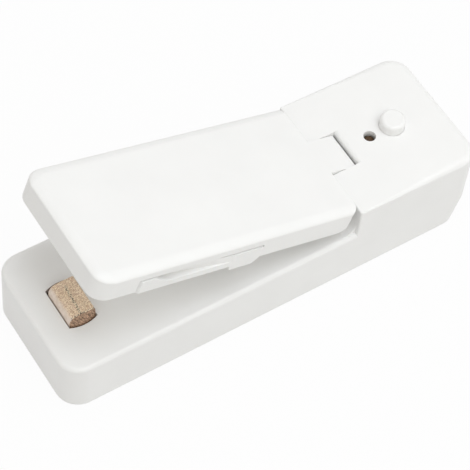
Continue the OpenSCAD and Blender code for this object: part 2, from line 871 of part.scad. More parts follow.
module charge_socket() {
    color("silver")
        translate([socket_front, 0, board_z + socket_h / 2])
            rotate([90, 0, 90]) {
                difference() {
                    linear_extrude(socket_l)
                        stadium(socket_w, socket_h);
                    translate([0, 0, 1])
                        linear_extrude(socket_l)
                            stadium(socket_w - 2 * socket_skin, socket_h - 2 * socket_skin);
                }
                translate([-0.35 * socket_w, -0.35, eps])
                    cube([0.7 * socket_w, 0.7, socket_l - 1.5]);
            }
}

module hinge_pins() {
    color("silver")
        for (s = [-1, 1])
            translate([pin_x, s * (ear_out + pin_out - pin_l / 2), pin_z])
                rotate([90, 0, 0])
                    cylinder(d = pin_d, h = pin_l, center = true);
}

module opening_spring() {
    color("silver")
        tube(spring_path, spring_wire / 2, 6, [0, 0, 1]);
}

// Button

module power_button() {
    r = button_d / 2;
    high = block_h + button_rise;
    edge = [for (a = [0 : 15 : 90])
        [r - button_edge + button_edge * cos(a), high - button_edge + button_edge * sin(a)]];
    color("white")
        translate([button_x, 0, 0])
            rotate_extrude()
                polygon(concat([[0, stem_bot], [stem_r, stem_bot],
                    [stem_r, button_flange_top - button_flange_t],
                    [button_flange_r, button_flange_top - button_flange_t],
                    [button_flange_r, button_flange_top], [r, button_flange_top]], edge, [[0, high]]));
}

module switch_plunger() {
    color("black")
        translate([button_x, 0, switch_top - plunger_dip])
            cylinder(r = plunger_r, h = stem_bot - switch_top + plunger_dip);
}

// Lever

// Tongue with its round end
module tongue() {
    hull() {
        translate([pin_x, 0, pin_z])
            rotate([90, 0, 0])
                cylinder(r = knuckle_r, h = tongue_w, center = true, $fn = 48);
        translate([pin_x + knuckle_rear, 0, pin_z + knuckle_up])
            rotate([90, 0, 0])
                cylinder(r = knuckle_edge, h = tongue_w, center = true, $fn = soft_fn);
        translate([lever_rear - tongue_root, -tongue_w / 2, pin_z - knuckle_r])
            cube([tongue_root, tongue_w, 2 * knuckle_r]);
    }
}

module lever_cover() {
    color("white")
        opened()
            difference() {
                union() {
                    difference() {
                        union() {
                            lever_form(0, lever_bot, block_h);
                            tongue();
                        }
                        lever_form(lever_wall, lever_bot - eps, lever_roof);
                        plate_form(lever_wall, lever_bot - eps, plate_top + eps);
                    }
                    lever_inside();
                }
                // Rounded rear corner on the cutter's side
                translate([lever_rear, side_y, lever_bot - eps])
                    linear_extrude(lever_t + 2 * eps)
                        corner_cut(heel_r);
                // Bore for the hinge pins
                translate([pin_x, 0, pin_z])
                    rotate([90, 0, 0])
                        cylinder(r = pin_d / 2 + run_gap, h = tongue_w + 2 * eps, center = true);
                // Notch for the cutter arm in the side wall, round at the pivot
                translate([pivot_x, side_y - eps, lever_bot - eps])
                    cube([bay_rear - pivot_x, lever_wall + 2 * eps, notch_top - lever_bot + eps]);
                translate([pivot_x, pivot_y, lever_bot - eps])
                    cylinder(r = notch_r, h = notch_top - lever_bot + eps);
                // Bore for the cutter's pivot
                translate([pivot_x, pivot_y, notch_top - eps])
                    cylinder(d = pivot_d, h = lever_roof + pivot_bite - notch_top + eps);
                lever_points()
                    translate([0, 0, plate_top - eps])
                        cylinder(d = screw_d, h = screw_bite + 2 * eps);
            }
}

// Inside of the lever: screw bosses, ribs of the cutter bay, pivot boss and pad seat
module lever_inside() {
    up = lever_roof + eps;
    lever_points()
        translate([0, 0, plate_top])
            cylinder(r = boss_r, h = up - plate_top);
    translate([bay_front - rib_t, bay_in, plate_top])
        cube([bay_rear - bay_front + 2 * rib_t, rib_t, up - plate_top]);
    for (x = [bay_front - rib_t, bay_rear])
        translate([x, side_y + lever_wall - eps, plate_top])
            cube([rib_t, bay_depth - lever_wall + 2 * eps, up - plate_top]);
    translate([pivot_x, pivot_y, notch_top])
        cylinder(r = boss_r, h = up - notch_top);
    translate([heater_x - pad_w / 2, heater_y - pad_l / 2, pad_top])
        cube([pad_w, pad_l, up - pad_top]);
}

module lever_underplate() {
    open_w = pad_w + 2 * seat_gap;
    open_l = pad_l + 2 * seat_gap;
    color("whitesmoke")
        opened()
            difference() {
                union() {
                    plate_form(lever_wall + seat_gap, lever_bot, plate_top);
                    // Peg in the spring's upper end
                    translate([peg_x, 0, lever_bot - peg_h])
                        cylinder(r = peg_r, h = peg_h + eps);
                }
                // Opening of the press pad
                translate([heater_x - open_w / 2, heater_y - open_l / 2, lever_bot - eps])
                    cube([open_w, open_l, plate_t + 2 * eps]);
                // Bay of the cutter arm
                translate([bay_front, side_y - eps, lever_bot - eps])
                    cube([bay_rear - bay_front, bay_depth + eps, plate_t + 2 * eps]);
                lever_points()
                    translate([0, 0, lever_bot])
                        screw_cut(plate_t);
            }
}

module press_pad() {
    color("lightgray")
        opened()
            translate([heater_x, heater_y, 0]) {
                translate([-pad_w / 2, -pad_l / 2, pad_face])
                    cube([pad_w, pad_l, pad_top - pad_face]);
                translate([-pad_w / 2 - pad_rim, -pad_l / 2 - pad_rim, plate_top])
                    cube([pad_w + 2 * pad_rim, pad_l + 2 * pad_rim, pad_rim_t]);
            }
}

module lever_screws() {
    color("silver")
        opened()
            lever_points()
                translate([0, 0, lever_bot + head_sink])
                    screw(lever_screw_l - screw_head_h);
}

module cutter_pivot() {
    color("silver")
        opened()
            translate([pivot_x, pivot_y, arm_bot + head_sink]) {
                cylinder(r = pivot_head_r, h = pivot_head_h);
                cylinder(d = pivot_d, h = lever_roof + pivot_bite - arm_bot - head_sink);
            }
}

// Cutter

// Side view of the arm: pivot end, ramp, rail and finger tab
module arm_outline() {
    tab_bot = lever_bot - tab_hang;
    polygon([[pivot_x, arm_bot], [pivot_x, arm_top], [ramp_x, arm_top],
        [groove_x, rail_top], [tab_front, rail_top], [tab_front, arm_top],
        [arm_rear, arm_top], [arm_rear, tab_bot + tab_bevel], [arm_rear - tab_bevel, tab_bot],
        [tab_front + tab_bevel / 4, tab_bot], [tab_front, tab_bot + tab_bevel / 4], [tab_front, arm_bot]]);
}

module cutter_arm() {
    color("white")
        opened()
            difference() {
                union() {
                    translate([0, arm_in, 0])
                        rotate([90, 0, 0])
                            linear_extrude(arm_depth)
                                arm_outline();
                    // Back of the finger groove, which comes out towards the tab
                    translate([0, 0, arm_bot])
                        linear_extrude(arm_h - nick)
                            polygon([[pivot_x, arm_in], [pivot_x, arm_out + groove_d],
                                [groove_x, arm_out + groove_d], [tab_front, arm_out + nick],
                                [tab_front, arm_in]]);
                    translate([pivot_x, pivot_y, arm_bot]) {
                        cylinder(r = nose_r, h = arm_h);
                        linear_extrude(arm_h)
                            polygon([[0, 0], [-nose_r, 0], [-nose_r, nose_bevel - nose_side],
                                [nose_bevel - nose_r, -nose_side], [0, -nose_side]]);
                    }
                    // Web that carries the blade
                    translate([0, 0, arm_bot])
                        linear_extrude(rail_h)
                            polygon([[pivot_x, arm_in - eps], [web_end, arm_in - eps],
                                [web_end, arm_in + web_lip], [web_mid, web_in],
                                [pivot_x + nose_r / 2, web_in], [pivot_x, pivot_y + nose_r / 2]]);
                }
                translate([pivot_x, pivot_y, arm_bot - eps])
                    cylinder(r = pivot_d / 2 + run_gap, h = arm_h + 2 * eps);
                translate([pivot_x, pivot_y, arm_bot - eps])
                    cylinder(r = pivot_head_r + move_gap, h = pivot_recess + eps);
                translate([blade_screw_x, blade_screw_y, arm_bot - eps])
                    cylinder(r = blade_screw_r, h = rail_h + 2 * eps);
            }
}

module cutter_blade() {
    color("lightsteelblue")
        opened()
            translate([0, 0, rail_top])
                linear_extrude(blade_t)
                    difference() {
                        polygon([[blade_front, arm_in + web_lip], [blade_tip - blade_over, arm_in + web_lip],
                            [blade_tip, arm_in + 2 * web_lip], [web_mid, web_in + blade_over],
                            [blade_front, web_in + blade_over]]);
                        translate([blade_screw_x, blade_screw_y])
                            circle(blade_screw_r + screw_gap);
                    }
}

module blade_screw() {
    color("silver")
        opened()
            translate([blade_screw_x, blade_screw_y, arm_bot + head_sink]) {
                cylinder(r = blade_screw_r, h = rail_h + blade_t);
                translate([0, 0, rail_h + blade_t - head_sink])
                    cylinder(r = blade_head_r, h = blade_head_h);
            }
}

base_shell();
bottom_cover();
cover_screws();
heater_block();
heating_strip();
ptfe_cover();
heater_screws();
heater_leads();
battery_cell();
battery_tape();
battery_leads();
circuit_board();
board_parts();
board_screws();
tact_switch();
indicator_led();
charge_socket();
hinge_pins();
opening_spring();
power_button();
switch_plunger();
lever_cover();
lever_underplate();
press_pad();
lever_screws();
cutter_pivot();
cutter_arm();
cutter_blade();
blade_screw();
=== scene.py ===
# Looks of the handheld bag sealer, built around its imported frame. Lengths are in metres.
import json
import math

import bmesh
import bpy
from mathutils import Matrix, Vector

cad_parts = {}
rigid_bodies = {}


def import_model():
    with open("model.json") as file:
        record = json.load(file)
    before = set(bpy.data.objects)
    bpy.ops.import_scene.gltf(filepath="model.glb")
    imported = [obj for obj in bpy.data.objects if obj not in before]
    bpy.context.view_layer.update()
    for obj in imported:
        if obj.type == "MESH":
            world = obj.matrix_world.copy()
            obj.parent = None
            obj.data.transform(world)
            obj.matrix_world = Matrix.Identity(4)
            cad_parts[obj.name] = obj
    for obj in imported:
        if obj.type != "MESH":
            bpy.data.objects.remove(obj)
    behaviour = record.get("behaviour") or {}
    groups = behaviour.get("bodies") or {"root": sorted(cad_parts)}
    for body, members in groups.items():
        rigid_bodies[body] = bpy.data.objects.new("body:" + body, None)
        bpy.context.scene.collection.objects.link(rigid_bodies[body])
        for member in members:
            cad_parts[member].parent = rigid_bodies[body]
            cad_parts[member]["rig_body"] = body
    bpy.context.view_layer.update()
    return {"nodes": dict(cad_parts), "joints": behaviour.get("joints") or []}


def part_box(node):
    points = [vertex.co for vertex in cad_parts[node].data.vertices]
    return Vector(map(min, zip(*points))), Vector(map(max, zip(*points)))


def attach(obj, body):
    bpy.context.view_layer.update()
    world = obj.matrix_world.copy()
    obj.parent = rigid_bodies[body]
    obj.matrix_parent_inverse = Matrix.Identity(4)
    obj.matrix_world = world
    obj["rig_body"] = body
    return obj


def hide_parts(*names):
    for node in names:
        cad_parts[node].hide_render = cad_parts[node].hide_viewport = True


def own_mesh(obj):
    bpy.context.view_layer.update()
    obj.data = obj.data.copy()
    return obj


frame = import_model()
nodes = frame["nodes"]
joints = {joint["name"]: joint for joint in frame["joints"]}
scene = bpy.context.scene

MM = 0.001
HINGE = Vector(joints["lever_hinge"]["pos_m"])
OPEN_ANGLE = math.radians(joints["lever_hinge"]["range_deg"][1])
BASE_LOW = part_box("base_shell")[0]
# Sizes of the frame's pieces that their boxes don't tell
DECK_HEIGHT = 14 * MM
PEG_HEIGHT = 1.8 * MM
PAD_RIM = 0.6 * MM
PAD_FACE_DEPTH = 0.5 * MM
LAMP_BODY = 3.8 * MM
LAMP_LEAD = 0.5 * MM


# Camera at the photograph's angle

CAMERA_AZIMUTH = math.radians(-37.81)
CAMERA_ELEVATION = math.radians(56.29)
CAMERA_ROLL = math.radians(6.90)
CAMERA_DISTANCE = 440.6 * MM
CAMERA_TARGET = Vector((-0.77, 0, 8.40)) * MM
CAMERA_NEAR = 0.01
CAMERA_FAR = 10
FOCAL_PIXELS = 2084.8
FRAME_PIXELS = 470
SENSOR = 36


def make_camera():
    data = bpy.data.cameras.new("camera")
    data.sensor_width = SENSOR
    data.lens = FOCAL_PIXELS / FRAME_PIXELS * SENSOR
    data.clip_start = CAMERA_NEAR
    data.clip_end = CAMERA_FAR
    camera = bpy.data.objects.new("camera", data)
    scene.collection.objects.link(camera)
    back = Vector((math.sin(CAMERA_AZIMUTH) * math.cos(CAMERA_ELEVATION),
                   -math.cos(CAMERA_AZIMUTH) * math.cos(CAMERA_ELEVATION),
                   math.sin(CAMERA_ELEVATION)))
    level = (-back).cross(Vector((0, 0, 1))).normalized()
    up = level.cross(-back)
    right = level * math.cos(CAMERA_ROLL) + up * math.sin(CAMERA_ROLL)
    top = up * math.cos(CAMERA_ROLL) - level * math.sin(CAMERA_ROLL)
    turn = Matrix((right, top, back)).transposed().to_4x4()
    camera.matrix_world = Matrix.Translation(CAMERA_TARGET + back * CAMERA_DISTANCE) @ turn
    scene.camera = camera


# Shader helpers

NOISE_DETAIL = 2.0
RAMP_DARK = 0.3
RAMP_LIGHT = 0.7


def math_node(tree, kind, first, second=None):
    """Result of a math node on two values, each a socket or a number."""
    node = tree.nodes.new("ShaderNodeMath")
    node.operation = kind
    for value, socket in ((first, node.inputs[0]), (second, node.inputs[1])):
        if isinstance(value, (int, float)):
            socket.default_value = value
        elif value is not None:
            tree.links.new(value, socket)
    return node.outputs[0]


def noise(tree, coords, scale, detail=NOISE_DETAIL):
    node = tree.nodes.new("ShaderNodeTexNoise")
    node.inputs["Scale"].default_value = scale
    node.inputs["Detail"].default_value = detail
    tree.links.new(coords, node.inputs["Vector"])
    return node.outputs["Fac"]


def spread(tree, value, low, high):
    """Maps a value from 0..1 to low..high."""
    node = tree.nodes.new("ShaderNodeMapRange")
    node.inputs["To Min"].default_value = low
    node.inputs["To Max"].default_value = high
    tree.links.new(value, node.inputs["Value"])
    return node.outputs["Result"]


def fade(tree, value, start, end):
    """0 at start and 1 at end, with a soft ramp between them."""
    node = tree.nodes.new("ShaderNodeMapRange")
    node.interpolation_type = "SMOOTHSTEP"
    node.inputs["From Min"].default_value = min(start, end)
    node.inputs["From Max"].default_value = max(start, end)
    node.inputs["To Min"].default_value = 0.0 if start < end else 1.0
    node.inputs["To Max"].default_value = 1.0 if start < end else 0.0
    tree.links.new(value, node.inputs["Value"])
    return node.outputs["Result"]


def two_tone(tree, value, dark, light):
    """Colour between dark and light, by a value around the middle of 0..1."""
    node = tree.nodes.new("ShaderNodeValToRGB")
    node.color_ramp.elements[0].position = RAMP_DARK
    node.color_ramp.elements[0].color = (*dark, 1)
    node.color_ramp.elements[1].position = RAMP_LIGHT
    node.color_ramp.elements[1].color = (*light, 1)
    tree.links.new(value, node.inputs["Fac"])
    return node.outputs["Color"]


def blended(tree, share, below, above):
    """Colour above over colour below; each is a socket or a colour."""
    node = tree.nodes.new("ShaderNodeMix")
    node.data_type = "RGBA"
    tree.links.new(share, node.inputs["Factor"])
    for value, socket in ((below, node.inputs["A"]), (above, node.inputs["B"])):
        if isinstance(value, tuple):
            socket.default_value = (*value, 1)
        else:
            tree.links.new(value, socket)
    return node.outputs["Result"]


def bump(tree, bsdf, height, strength, distance):
    node = tree.nodes.new("ShaderNodeBump")
    node.inputs["Strength"].default_value = strength
    node.inputs["Distance"].default_value = distance
    tree.links.new(height, node.inputs["Height"])
    tree.links.new(node.outputs["Normal"], bsdf.inputs["Normal"])


def show_mix(tree, share, below, above, output):
    """Sends shader below to the output, with a share of shader above over it."""
    mix = tree.nodes.new("ShaderNodeMixShader")
    tree.links.new(share, mix.inputs["Fac"])
    tree.links.new(below.outputs[0], mix.inputs[1])
    tree.links.new(above.outputs[0], mix.inputs[2])
    tree.links.new(mix.outputs[0], tree.nodes[output].inputs["Surface"])


def is_seen(tree):
    """1 for rays that show the background: camera, glossy and transmission rays."""
    path = tree.nodes.new("ShaderNodeLightPath")
    seen = path.outputs["Is Camera Ray"]
    for other in ("Is Glossy Ray", "Is Transmission Ray"):
        seen = math_node(tree, "MAXIMUM", seen, path.outputs[other])
    return seen


# Stage and light

PURE_WHITE = (1, 1, 1, 1)
WHITE_STRENGTH = 1.0
WORLD_COLOUR = (1.0, 0.975, 0.93, 1)
WORLD_STRENGTH = 0.64
FLOOR_SIZE = 6.0
FLOOR_GAP = 0.02 * MM
FLOOR_COLOUR = (0.74, 0.74, 0.74, 1)
FLOOR_ROUGH = 0.9
# Share of plain white in the floor as it is seen; the rest shows the shadow
FLOOR_SHOW = 0.95
# Name, place, diameter, watts and colour of each lamp
SOFTBOXES = (
    ("top_softbox", (0.10, -0.10, 0.75), 0.50, 1.70, (0.87, 0.92, 1.0)),
    ("key_softbox", (0.55, -0.26, 0.60), 0.30, 0.43, (0.96, 0.98, 1.0)),
    ("side_softbox", (0.04, -0.52, 0.65), 0.45, 1.12, (0.99, 1.0, 0.96)),
    ("front_softbox", (-0.60, -0.04, 0.40), 0.40, 0.13, (1.0, 0.97, 0.94)),
)


def make_world():
    """Even light from all around, seen as plain white."""
    world = bpy.data.worlds.new("studio")
    world.use_nodes = True
    scene.world = world
    tree = world.node_tree
    light = tree.nodes["Background"]
    light.inputs["Color"].default_value = WORLD_COLOUR
    light.inputs["Strength"].default_value = WORLD_STRENGTH
    white = tree.nodes.new("ShaderNodeBackground")
    white.inputs["Color"].default_value = PURE_WHITE
    white.inputs["Strength"].default_value = WHITE_STRENGTH
    show_mix(tree, is_seen(tree), light, white, "World Output")


def make_floor():
    """Pale floor, seen as nearly plain white with the object's shadow."""
    mesh = bpy.data.meshes.new("floor")
    half = FLOOR_SIZE / 2
    corners = [(-half, -half, 0), (half, -half, 0), (half, half, 0), (-half, half, 0)]
    mesh.from_pydata(corners, [], [(0, 1, 2, 3)])
    floor = bpy.data.objects.new("floor", mesh)
    floor.location.z = BASE_LOW.z - FLOOR_GAP
    scene.collection.objects.link(floor)
    material = bpy.data.materials.new("floor")
    material.use_nodes = True
    tree = material.node_tree
    plain = tree.nodes["Principled BSDF"]
    plain.inputs["Base Color"].default_value = FLOOR_COLOUR
    plain.inputs["Roughness"].default_value = FLOOR_ROUGH
    glow = tree.nodes.new("ShaderNodeEmission")
    glow.inputs["Color"].default_value = PURE_WHITE
    glow.inputs["Strength"].default_value = WHITE_STRENGTH
    share = math_node(tree, "MULTIPLY", is_seen(tree), FLOOR_SHOW)
    show_mix(tree, share, plain, glow, "Material Output")
    mesh.materials.append(material)


def make_light(name, place, size, power, colour):
    """Round softbox that faces the object."""
    data = bpy.data.lights.new(name, "AREA")
    data.shape = "DISK"
    data.size = size
    data.energy = power
    data.color = colour
    light = bpy.data.objects.new(name, data)
    light.location = place
    light.rotation_mode = "QUATERNION"
    light.rotation_quaternion = Vector(place).to_track_quat("Z", "Y")
    scene.collection.objects.link(light)


def make_stage():
    make_world()
    make_floor()
    for softbox in SOFTBOXES:
        make_light(*softbox)
    scene.view_settings.view_transform = "Standard"


# Plastics and metals. A scale counts noise cells per metre

CLOUD_SCALE = 90
SHEEN_SCALE = 700
GRAIN_SCALE = 5200
GRAIN_DETAIL = 3
GRAIN_DEPTH = 0.03 * MM
STREAK_SCALE = 2600
STREAK_DETAIL = 3
STREAK_STRENGTH = 0.12
STREAK_DEPTH = 0.01 * MM
LAMP_SHINE = 0.2


def new_material(name):
    """New material with its node tree, its shader and the object's own coordinates."""
    material = bpy.data.materials.new(name)
    material.use_nodes = True
    tree = material.node_tree
    coords = tree.nodes.new("ShaderNodeTexCoord")
    return material, tree, tree.nodes["Principled BSDF"], coords.outputs["Object"]


def moulded_plastic(name, dark, light, rough, grain=0.10):
    """Injection-moulded plastic: faint colour clouds and a fine spark-eroded grain."""
    material, tree, bsdf, coords = new_material(name)
    clouds = noise(tree, coords, CLOUD_SCALE)
    sheen = noise(tree, coords, SHEEN_SCALE)
    fine = noise(tree, coords, GRAIN_SCALE, GRAIN_DETAIL)
    tree.links.new(two_tone(tree, clouds, dark, light), bsdf.inputs["Base Color"])
    tree.links.new(spread(tree, sheen, *rough), bsdf.inputs["Roughness"])
    bump(tree, bsdf, fine, grain, GRAIN_DEPTH)
    return material


def metal(name, dark, light, rough, streak=(1, 1, 1)):
    """Metal with fine streaks; streak stretches the grain along an axis."""
    material, tree, bsdf, coords = new_material(name)
    stretch = tree.nodes.new("ShaderNodeMapping")
    stretch.inputs["Scale"].default_value = streak
    tree.links.new(coords, stretch.inputs["Vector"])
    grain = noise(tree, stretch.outputs["Vector"], STREAK_SCALE, STREAK_DETAIL)
    tree.links.new(two_tone(tree, grain, dark, light), bsdf.inputs["Base Color"])
    tree.links.new(spread(tree, grain, *rough), bsdf.inputs["Roughness"])
    bsdf.inputs["Metallic"].default_value = 1.0
    bump(tree, bsdf, grain, STREAK_STRENGTH, STREAK_DEPTH)
    return material


WHITE = moulded_plastic("white_plastic", (0.855, 0.855, 0.848), (0.875, 0.875, 0.868), (0.34, 0.44))
PADDING = moulded_plastic("silicone", (0.62, 0.62, 0.60), (0.70, 0.70, 0.68), (0.5, 0.62))
CARRIER = moulded_plastic("carrier", (0.52, 0.42, 0.30), (0.62, 0.52, 0.38), (0.55, 0.7))
BLACK = moulded_plastic("black_plastic", (0.018, 0.018, 0.018), (0.03, 0.03, 0.03), (0.38, 0.5))
RED_WIRE = moulded_plastic("red_wire", (0.40, 0.03, 0.025), (0.48, 0.04, 0.035), (0.35, 0.45))
BLACK_WIRE = moulded_plastic("black_wire", (0.014, 0.014, 0.015), (0.024, 0.024, 0.025), (0.35, 0.45))
FOAM = moulded_plastic("foam", (0.03, 0.03, 0.032), (0.06, 0.06, 0.062), (0.85, 0.95), grain=0.6)
BOARD = moulded_plastic("board", (0.016, 0.085, 0.035), (0.024, 0.11, 0.05), (0.28, 0.36))
LAMP = moulded_plastic("lamp", (0.06, 0.032, 0.016), (0.10, 0.058, 0.032), (0.12, 0.2), grain=0.02)
LAMP.node_tree.nodes["Principled BSDF"].inputs["Specular IOR Level"].default_value = LAMP_SHINE
STEEL = metal("steel", (0.50, 0.50, 0.51), (0.64, 0.64, 0.65), (0.24, 0.36))
BLADE = metal("blade_steel", (0.58, 0.59, 0.60), (0.70, 0.71, 0.72), (0.18, 0.28), streak=(0.2, 4, 1))
ALLOY = metal("heating_alloy", (0.26, 0.25, 0.24), (0.36, 0.34, 0.32), (0.3, 0.42), streak=(0.3, 4, 1))
POUCH = metal("cell_pouch", (0.52, 0.53, 0.55), (0.62, 0.63, 0.65), (0.4, 0.55))


# Glass cloth: its place and colours, then its threads, seam, folded ends and the painted sheen of its
# front

CLOTH_LOW, CLOTH_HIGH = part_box("ptfe_cover")
CLOTH_MIDDLE = (CLOTH_LOW + CLOTH_HIGH) / 2
CLOTH_TOP_HALF = 4.4 * MM
CLOTH_DARK, CLOTH_LIGHT = (0.44, 0.27, 0.17), (1.0, 0.88, 0.68)
CLOTH_ROSE, CLOTH_SAND = (1.0, 0.68, 0.50), (1.0, 0.72, 0.46)
# Dark dots of the seam, and light dots that are painted glints of the thread crossings
SEAM_DARK, SEAM_GLINT = (0.07, 0.035, 0.02), (0.92, 0.76, 0.56)
FOLD_DARK, FOLD_LIGHT = (0.12, 0.065, 0.038), (0.64, 0.42, 0.285)
# Colours of the painted sheen on the front
FRONT_SHEEN_DARK, FRONT_SHEEN_LIGHT = (0.74, 0.62, 0.52), (0.90, 0.77, 0.68)
# Speckled threads of the top, with a veil of tints over them
SPECKLE_SCALE = 4200
SPECKLE_DETAIL = 4
SPECKLE_RANGE = (0.34, 0.66)
SPECKLE_ROUGH = (0.6, 0.4)
SPECKLE_STRENGTH = 0.5
SPECKLE_DEPTH = 0.06 * MM
TINT_SCALE = 420
VEIL_SCALE = 800
VEIL_SHARE = (0.05, 0.45)
# Dotted seam over the heating strip, and the frayed near edge; their light dots are painted glints of the
# thread crossings
SEAM_HALF = 0.32 * MM
SEAM_SLANT = 0.067
SEAM_SHIFT = 0.12 * MM
SEAM_END = 2.9 * MM
SEAM_END_PULL = 2.0
FRAY_HALF = 0.26 * MM
FRAY_INSET = 0.1 * MM
STITCH_SCALE = 3400
STITCH_DETAIL = 1
STITCH_RANGE = (0.40, 0.56)
# The dots fade from the outside to the inside, in shares of the half width
STITCH_OUTSIDE = 1.3
STITCH_INSIDE = 0.5
STITCH_SHARE = 0.9
# Leaning streaks and flecks of the folded ends
WRAP_STEP = 0.62 * MM
WRAP_UP = 0.6
WRAP_ALONG = 0.8
SWAY_SCALE = 700
SWAY_DETAIL = 3
SWAY_REACH = 16.0
STREAK_SHARE = 0.35
FLECK_SCALE = 3800
FLECK_DETAIL = 3
FLECK_RANGE = (0.36, 0.64)
FLECK_SHARE = 0.65
# Painted sheen: the front is paler, for the light its glossy coating reflects, with a ragged edge that
# starts and is full at these distances from the front
FRONT_SHEEN_SCALE = 900
FRONT_SHEEN_START = 1.5 * MM
FRONT_SHEEN_FULL = 0.6 * MM
RAGGED_SCALE = 1100
RAGGED_REACH = 0.5 * MM
# How squarely a face looks sideways where the folded end's colour starts and is full
END_FACING = (0.45, 0.75)


def cloth_top(tree, coords, speckle, x, y):
    """Colour of the top: speckled threads under a veil of tints, a dotted seam and a frayed near edge,
    whose light dots are painted glints.
    """
    threads = blended(tree, fade(tree, speckle, *SPECKLE_RANGE), CLOTH_DARK, CLOTH_LIGHT)
    tints = two_tone(tree, noise(tree, coords, TINT_SCALE), CLOTH_ROSE, CLOTH_SAND)
    top = blended(tree, spread(tree, noise(tree, coords, VEIL_SCALE), *VEIL_SHARE), threads, tints)
    slant = math_node(tree, "MULTIPLY", y, SEAM_SLANT)
    middle = math_node(tree, "ADD", slant, CLOTH_MIDDLE.x + SEAM_SHIFT)
    beside = math_node(tree, "ABSOLUTE", math_node(tree, "SUBTRACT", x, middle))
    past = math_node(tree, "MAXIMUM", math_node(tree, "SUBTRACT", y, CLOTH_MIDDLE.y + SEAM_END), 0.0)
    seam = math_node(tree, "ADD", beside, math_node(tree, "MULTIPLY", past, SEAM_END_PULL))
    edge = CLOTH_MIDDLE.y - CLOTH_TOP_HALF + FRAY_INSET
    fray = math_node(tree, "ABSOLUTE", math_node(tree, "SUBTRACT", y, edge))
    dots = fade(tree, noise(tree, coords, STITCH_SCALE, STITCH_DETAIL), *STITCH_RANGE)
    for away, half in ((seam, SEAM_HALF), (fray, FRAY_HALF)):
        inside = fade(tree, away, STITCH_OUTSIDE * half, STITCH_INSIDE * half)
        # Dark dots, with painted glints of the thread crossings as the light dots
        stitches_and_glints = blended(tree, dots, SEAM_DARK, SEAM_GLINT)
        top = blended(tree, math_node(tree, "MULTIPLY", inside, STITCH_SHARE), top, stitches_and_glints)
    return top


def cloth_fold(tree, coords, x, z):
    """Colour of the ends that are folded down: leaning streaks and flecks."""
    up = math_node(tree, "MULTIPLY", z, WRAP_UP)
    rows = math_node(tree, "ADD", up, math_node(tree, "MULTIPLY", x, WRAP_ALONG))
    sway = math_node(tree, "MULTIPLY", noise(tree, coords, SWAY_SCALE, SWAY_DETAIL), SWAY_REACH)
    waves = math_node(tree, "ADD", math_node(tree, "MULTIPLY", rows, 2 * math.pi / WRAP_STEP), sway)
    streaks = fade(tree, math_node(tree, "SINE", waves), -1, 1)
    flecks = fade(tree, noise(tree, coords, FLECK_SCALE, FLECK_DETAIL), *FLECK_RANGE)
    share = math_node(tree, "ADD", math_node(tree, "MULTIPLY", streaks, STREAK_SHARE),
                      math_node(tree, "MULTIPLY", flecks, FLECK_SHARE))
    return blended(tree, share, FOLD_DARK, FOLD_LIGHT)


def glass_cloth():
    """Coated glass cloth, with a painted sheen that makes its front paler, and brown where its ends fold
    down.
    """
    material, tree, bsdf, coords = new_material("glass_cloth")
    place = tree.nodes.new("ShaderNodeSeparateXYZ")
    tree.links.new(coords, place.inputs[0])
    x, y, z = (place.outputs[i] for i in range(3))
    facing = tree.nodes.new("ShaderNodeSeparateXYZ")
    tree.links.new(tree.nodes["Texture Coordinate"].outputs["Normal"], facing.inputs[0])
    speckle = noise(tree, coords, SPECKLE_SCALE, SPECKLE_DETAIL)
    top = cloth_top(tree, coords, speckle, x, y)
    # Painted sheen: the front is paler, for the light its glossy coating reflects
    front = two_tone(tree, noise(tree, coords, FRONT_SHEEN_SCALE), FRONT_SHEEN_DARK, FRONT_SHEEN_LIGHT)
    ragged = math_node(tree, "MULTIPLY", noise(tree, coords, RAGGED_SCALE), RAGGED_REACH)
    to_front_sheen = fade(tree, math_node(tree, "ADD", x, ragged), CLOTH_LOW.x + FRONT_SHEEN_START,
                    CLOTH_LOW.x + FRONT_SHEEN_FULL)
    to_end = fade(tree, math_node(tree, "ABSOLUTE", facing.outputs[1]), *END_FACING)
    colour = blended(tree, to_end, blended(tree, to_front_sheen, top, front), cloth_fold(tree, coords, x, z))
    tree.links.new(colour, bsdf.inputs["Base Color"])
    tree.links.new(spread(tree, speckle, *SPECKLE_ROUGH), bsdf.inputs["Roughness"])
    bump(tree, bsdf, speckle, SPECKLE_STRENGTH, SPECKLE_DEPTH)
    return material


CLOTH = glass_cloth()


# Looks of the frame's nodes

LOOKS = {
    "base_shell": WHITE, "bottom_cover": WHITE, "lever_cover": WHITE, "lever_underplate": WHITE,
    "power_button": WHITE, "cutter_arm": WHITE, "press_pad": PADDING, "heater_block": CARRIER,
    "heating_strip": ALLOY, "ptfe_cover": CLOTH, "heater_leads": RED_WIRE, "battery_leads": BLACK_WIRE,
    "battery_cell": POUCH, "battery_tape": FOAM, "circuit_board": BOARD, "board_parts": BLACK,
    "tact_switch": BLACK, "switch_plunger": BLACK, "indicator_led": LAMP, "charge_socket": STEEL,
    "hinge_pins": STEEL, "opening_spring": STEEL, "cover_screws": STEEL, "heater_screws": STEEL,
    "board_screws": STEEL, "lever_screws": STEEL, "cutter_pivot": STEEL, "cutter_blade": BLADE,
    "blade_screw": STEEL,
}


def dress(obj, material):
    obj.data.materials.clear()
    obj.data.materials.append(material)


for name, look in LOOKS.items():
    dress(nodes[name], look)


# The lever's pieces stand open in the frame

def opened(point):
    """A point of the shut lever, turned up to where the lever stands at rest."""
    return HINGE + Matrix.Rotation(OPEN_ANGLE, 3, "Y") @ (Vector(point) - HINGE)


def shut(point):
    """A point of the lever at rest, turned down to where it lies when shut."""
    return HINGE + Matrix.Rotation(-OPEN_ANGLE, 3, "Y") @ (point - HINGE)


def shut_box(node):
    """Box of a lever node with the lever shut."""
    points = [shut(vert.co) for vert in nodes[node].data.vertices]
    return [Vector([pick(point[i] for point in points) for i in range(3)]) for pick in (min, max)]


# Moulded shells: the frame's forms with rounded edges and smooth shading

